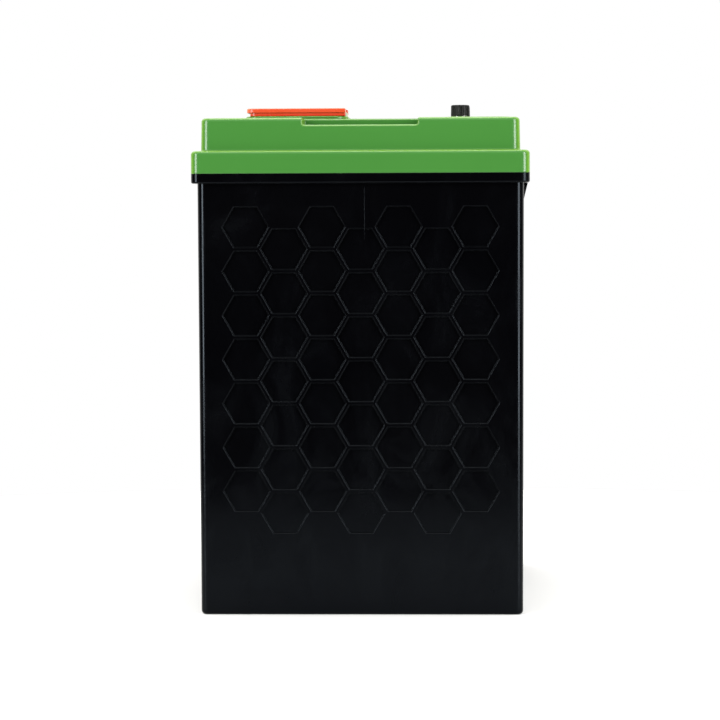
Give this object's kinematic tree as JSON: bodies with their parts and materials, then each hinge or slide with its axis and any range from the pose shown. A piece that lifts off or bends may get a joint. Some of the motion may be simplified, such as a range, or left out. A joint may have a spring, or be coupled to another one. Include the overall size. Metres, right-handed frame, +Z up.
{
  "type": "deep cycle battery",
  "caption": "Golf-cart size deep cycle battery: black case with honeycomb pockets, green stepped lid, hinged terminal covers and screw-capped data ports.",
  "frame": {"origin": "middle of the flat foot of the case, on the surface it stands on", "axes": "+X across the width, +Y along the length away from the pictured end, +Z up"},
  "size_m": [0.181, 0.261, 0.2738],
  "materials": {
    "case_black": "satin moulded",
    "lid_green": "satin moulded",
    "cover_red": "satin moulded",
    "cover_black": "satin moulded",
    "cap_black": "knurled",
    "seal_rubber": "matt",
    "foam": "closed cell foam",
    "terminal_brass": "machined",
    "port_nickel": "nickel plated",
    "screw_steel": "zinc plated",
    "insulator": "moulded",
    "wire_jacket": "smooth",
    "board_green": "solder mask",
    "cell_aluminium": "as rolled",
    "cell_wrap": "aluminium can in blue shrink film",
    "copper": "bare copper"
  },
  "bodies": {
    "battery": {"base_pad": "foam", "board_capacitors": "cell_aluminium", "board_connectors": "insulator", "board_screws": "screw_steel", "board_tray": "insulator", "case": "case_black", "cell_separators": "insulator", "control_board": "board_green", "end_foam": "foam", "front_end_plate": "cell_aluminium", "front_port_shell": "port_nickel", "heat_sink": "cell_aluminium", "layer_link": "copper", "layer_tray": "insulator", "lid": "lid_green", "lid_gasket": "seal_rubber", "lid_screws": "screw_steel", "lower_busbars": "copper", "lower_cell_1": "cell_wrap", "lower_cell_2": "cell_wrap", "lower_cell_3": "cell_wrap", "lower_cell_4": "cell_wrap", "lower_cell_5": "cell_wrap", "lower_cell_6": "cell_wrap", "lower_cell_7": "cell_wrap", "lower_cell_8": "cell_wrap", "negative_hinge_pin": "screw_steel", "negative_lead": "copper", "negative_terminal": "terminal_brass", "pack_straps": "screw_steel", "port_contacts": "terminal_brass", "port_harness": "wire_jacket", "port_inserts": "insulator", "port_nuts": "port_nickel", "positive_hinge_pin": "screw_steel", "positive_lead": "copper", "positive_terminal": "terminal_brass", "power_switches": "insulator", "rear_end_plate": "cell_aluminium", "rear_port_shell": "port_nickel", "stack_negative_lead": "copper", "terminal_screws": "screw_steel", "terminal_seals": "seal_rubber", "upper_busbars": "copper", "upper_cell_1": "cell_wrap", "upper_cell_2": "cell_wrap", "upper_cell_3": "cell_wrap", "upper_cell_4": "cell_wrap", "upper_cell_5": "cell_wrap", "upper_cell_6": "cell_wrap", "upper_cell_7": "cell_wrap", "upper_cell_8": "cell_wrap", "vent_plug": "cap_black"},
    "positive_cover": {"positive_cover": "cover_red"},
    "negative_cover": {"negative_cover": "cover_black"},
    "front_cap_seal": {"front_cap_oring": "seal_rubber"},
    "front_cap": {"front_port_cap": "cap_black"},
    "rear_cap_seal": {"rear_cap_oring": "seal_rubber"},
    "rear_cap": {"rear_port_cap": "cap_black"}
  },
  "joints": [
    {"name": "positive_cover_hinge", "type": "hinge", "parent": "battery", "child": "positive_cover", "pos_m": [-0.00995, -0.079, 0.26995], "axis": [0, 1, 0], "range_deg": [0, 110]},
    {"name": "negative_cover_hinge", "type": "hinge", "parent": "battery", "child": "negative_cover", "pos_m": [-0.00995, 0.079, 0.26995], "axis": [0, 1, 0], "range_deg": [0, 110]},
    {"name": "front_cap_lift", "type": "slide", "parent": "battery", "child": "front_cap_seal", "axis": [0, 0, 1], "range_m": [0, 0.004]},
    {"name": "front_cap_turn", "type": "hinge", "parent": "front_cap_seal", "child": "front_cap", "pos_m": [0.0532, -0.09, 0.2705], "axis": [0, 0, 1], "range_deg": [0, 1440]},
    {"name": "rear_cap_lift", "type": "slide", "parent": "battery", "child": "rear_cap_seal", "axis": [0, 0, 1], "range_m": [0, 0.004]},
    {"name": "rear_cap_turn", "type": "hinge", "parent": "rear_cap_seal", "child": "rear_cap", "pos_m": [0.0532, -0.068, 0.2705], "axis": [0, 0, 1], "range_deg": [0, 1440]}
  ],
  "couplings": [
    {"joint": "front_cap_turn", "follows": "front_cap_lift", "rad_per_m": 6283.2},
    {"joint": "rear_cap_turn", "follows": "rear_cap_lift", "rad_per_m": 6283.2}
  ]
}
